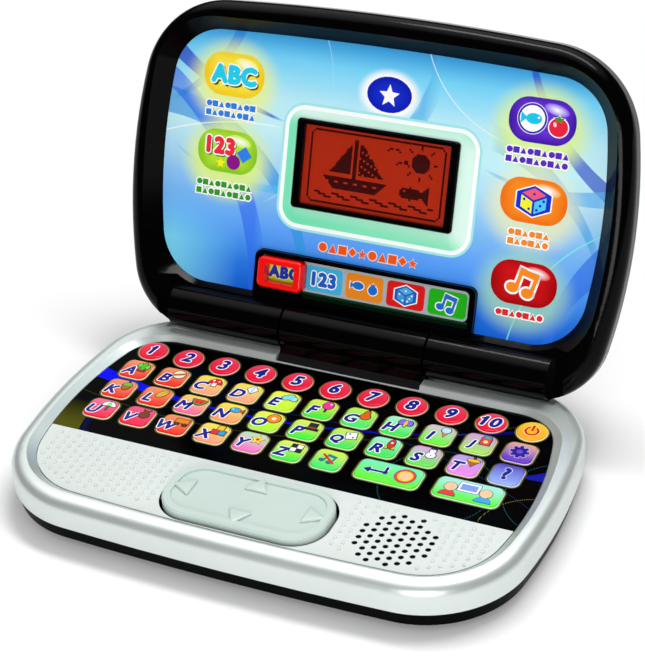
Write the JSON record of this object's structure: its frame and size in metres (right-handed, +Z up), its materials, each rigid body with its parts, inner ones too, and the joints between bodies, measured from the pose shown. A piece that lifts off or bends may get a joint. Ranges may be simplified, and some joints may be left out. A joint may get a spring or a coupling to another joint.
{
  "type": "toy laptop computer",
  "caption": "Toy laptop with a folding lid, small dot display, five-place mode slider, film keyboard, tilting cursor pad and speaker.",
  "frame": {"origin": "on the table, below the middle of the base, on the underside of the battery plinth", "axes": "+X to the right of the user, +Y to the back where the lid is hinged, +Z up"},
  "size_m": [0.2652, 0.2246, 0.1881],
  "materials": {
    "black_shell": "gloss black ABS",
    "silver_case": "satin silver painted ABS",
    "palm_plastic": "pale grey moulded ABS",
    "pad_plastic": "pale grey-green ABS",
    "film": "printed and embossed polycarbonate film",
    "membrane": "printed membrane switch sheet",
    "white_inner": "inner moulding",
    "circuit": "green circuit board",
    "chip_resin": "black resin",
    "grey_rubber": "silicone rubber",
    "foot_rubber": "soft rubber",
    "cable_rubber": "cable jacket",
    "steel": "plated steel",
    "magnet": "ferrite",
    "cone_paper": "pressed paper",
    "cell_jacket": "plain cell jacket",
    "printed_panel": "printed sky-blue plastic sheet",
    "clear_window": "clear acrylic",
    "display_glass": "dot display with orange backlight",
    "label_card": "printed plastic label",
    "red_plastic": "gloss red ABS",
    "contact_brass": "spring brass"
  },
  "bodies": {
    "base": {"base_bottom_shell": "black_shell", "base_top_case": "silver_case", "battery_cell_1": "cell_jacket", "battery_cell_2": "cell_jacket", "battery_cell_3": "cell_jacket", "battery_contact_left": "steel", "battery_contact_right": "steel", "battery_door": "black_shell", "battery_door_screw": "steel", "case_screw_1": "steel", "case_screw_2": "steel", "case_screw_3": "steel", "case_screw_4": "steel", "case_screw_5": "steel", "case_screw_6": "steel", "cursor_pad_board": "circuit", "cursor_pad_bracket": "white_inner", "cursor_pad_rubber_mat": "grey_rubber", "hinge_bushing": "steel", "hinge_cable": "cable_rubber", "hinge_knuckle": "black_shell", "hinge_pin": "steel", "keyboard_film": "film", "main_board": "circuit", "main_board_chip": "chip_resin", "membrane_switch_sheet": "membrane", "palm_rest": "palm_plastic", "rubber_foot_1": "foot_rubber", "rubber_foot_2": "foot_rubber", "rubber_foot_3": "foot_rubber", "rubber_foot_4": "foot_rubber", "speaker_basket": "steel", "speaker_cone": "cone_paper", "speaker_magnet": "magnet"},
    "lid": {"display_board": "circuit", "display_frame": "black_shell", "display_glass": "display_glass", "display_window": "clear_window", "lid_back_shell": "black_shell", "lid_front_bezel": "black_shell", "lid_printed_panel": "printed_panel", "lid_screw_1": "steel", "lid_screw_2": "steel", "lid_screw_3": "steel", "lid_screw_4": "steel", "mode_label_strip": "label_card", "mode_switch_board": "circuit"},
    "slider": {"mode_slider": "red_plastic", "mode_slider_shoe": "black_shell", "mode_slider_wiper": "contact_brass"},
    "pad_gimbal": {"cursor_pad_gimbal": "white_inner"},
    "pad": {"cursor_pad_cap": "pad_plastic"}
  },
  "joints": [
    {"name": "lid_hinge", "type": "hinge", "parent": "base", "child": "lid", "pos_m": [0, 0.0763, 0.0351], "axis": [1, 0, 0], "range_deg": [0, 110.2]},
    {"name": "mode_slide", "type": "slide", "parent": "lid", "child": "slider", "axis": [1, 0, 0], "range_m": [0, 0.0888]},
    {"name": "pad_tilt_sideways", "type": "hinge", "parent": "base", "child": "pad_gimbal", "pos_m": [0, -0.0509, 0.0186], "axis": [0, 1, 0], "range_deg": [-2.5, 2.5], "stiffness_Nm_per_rad": 1.2},
    {"name": "pad_tilt_lengthways", "type": "hinge", "parent": "pad_gimbal", "child": "pad", "pos_m": [0, -0.0509, 0.0186], "axis": [1, 0, 0], "range_deg": [-4, 4], "stiffness_Nm_per_rad": 0.8}
  ]
}
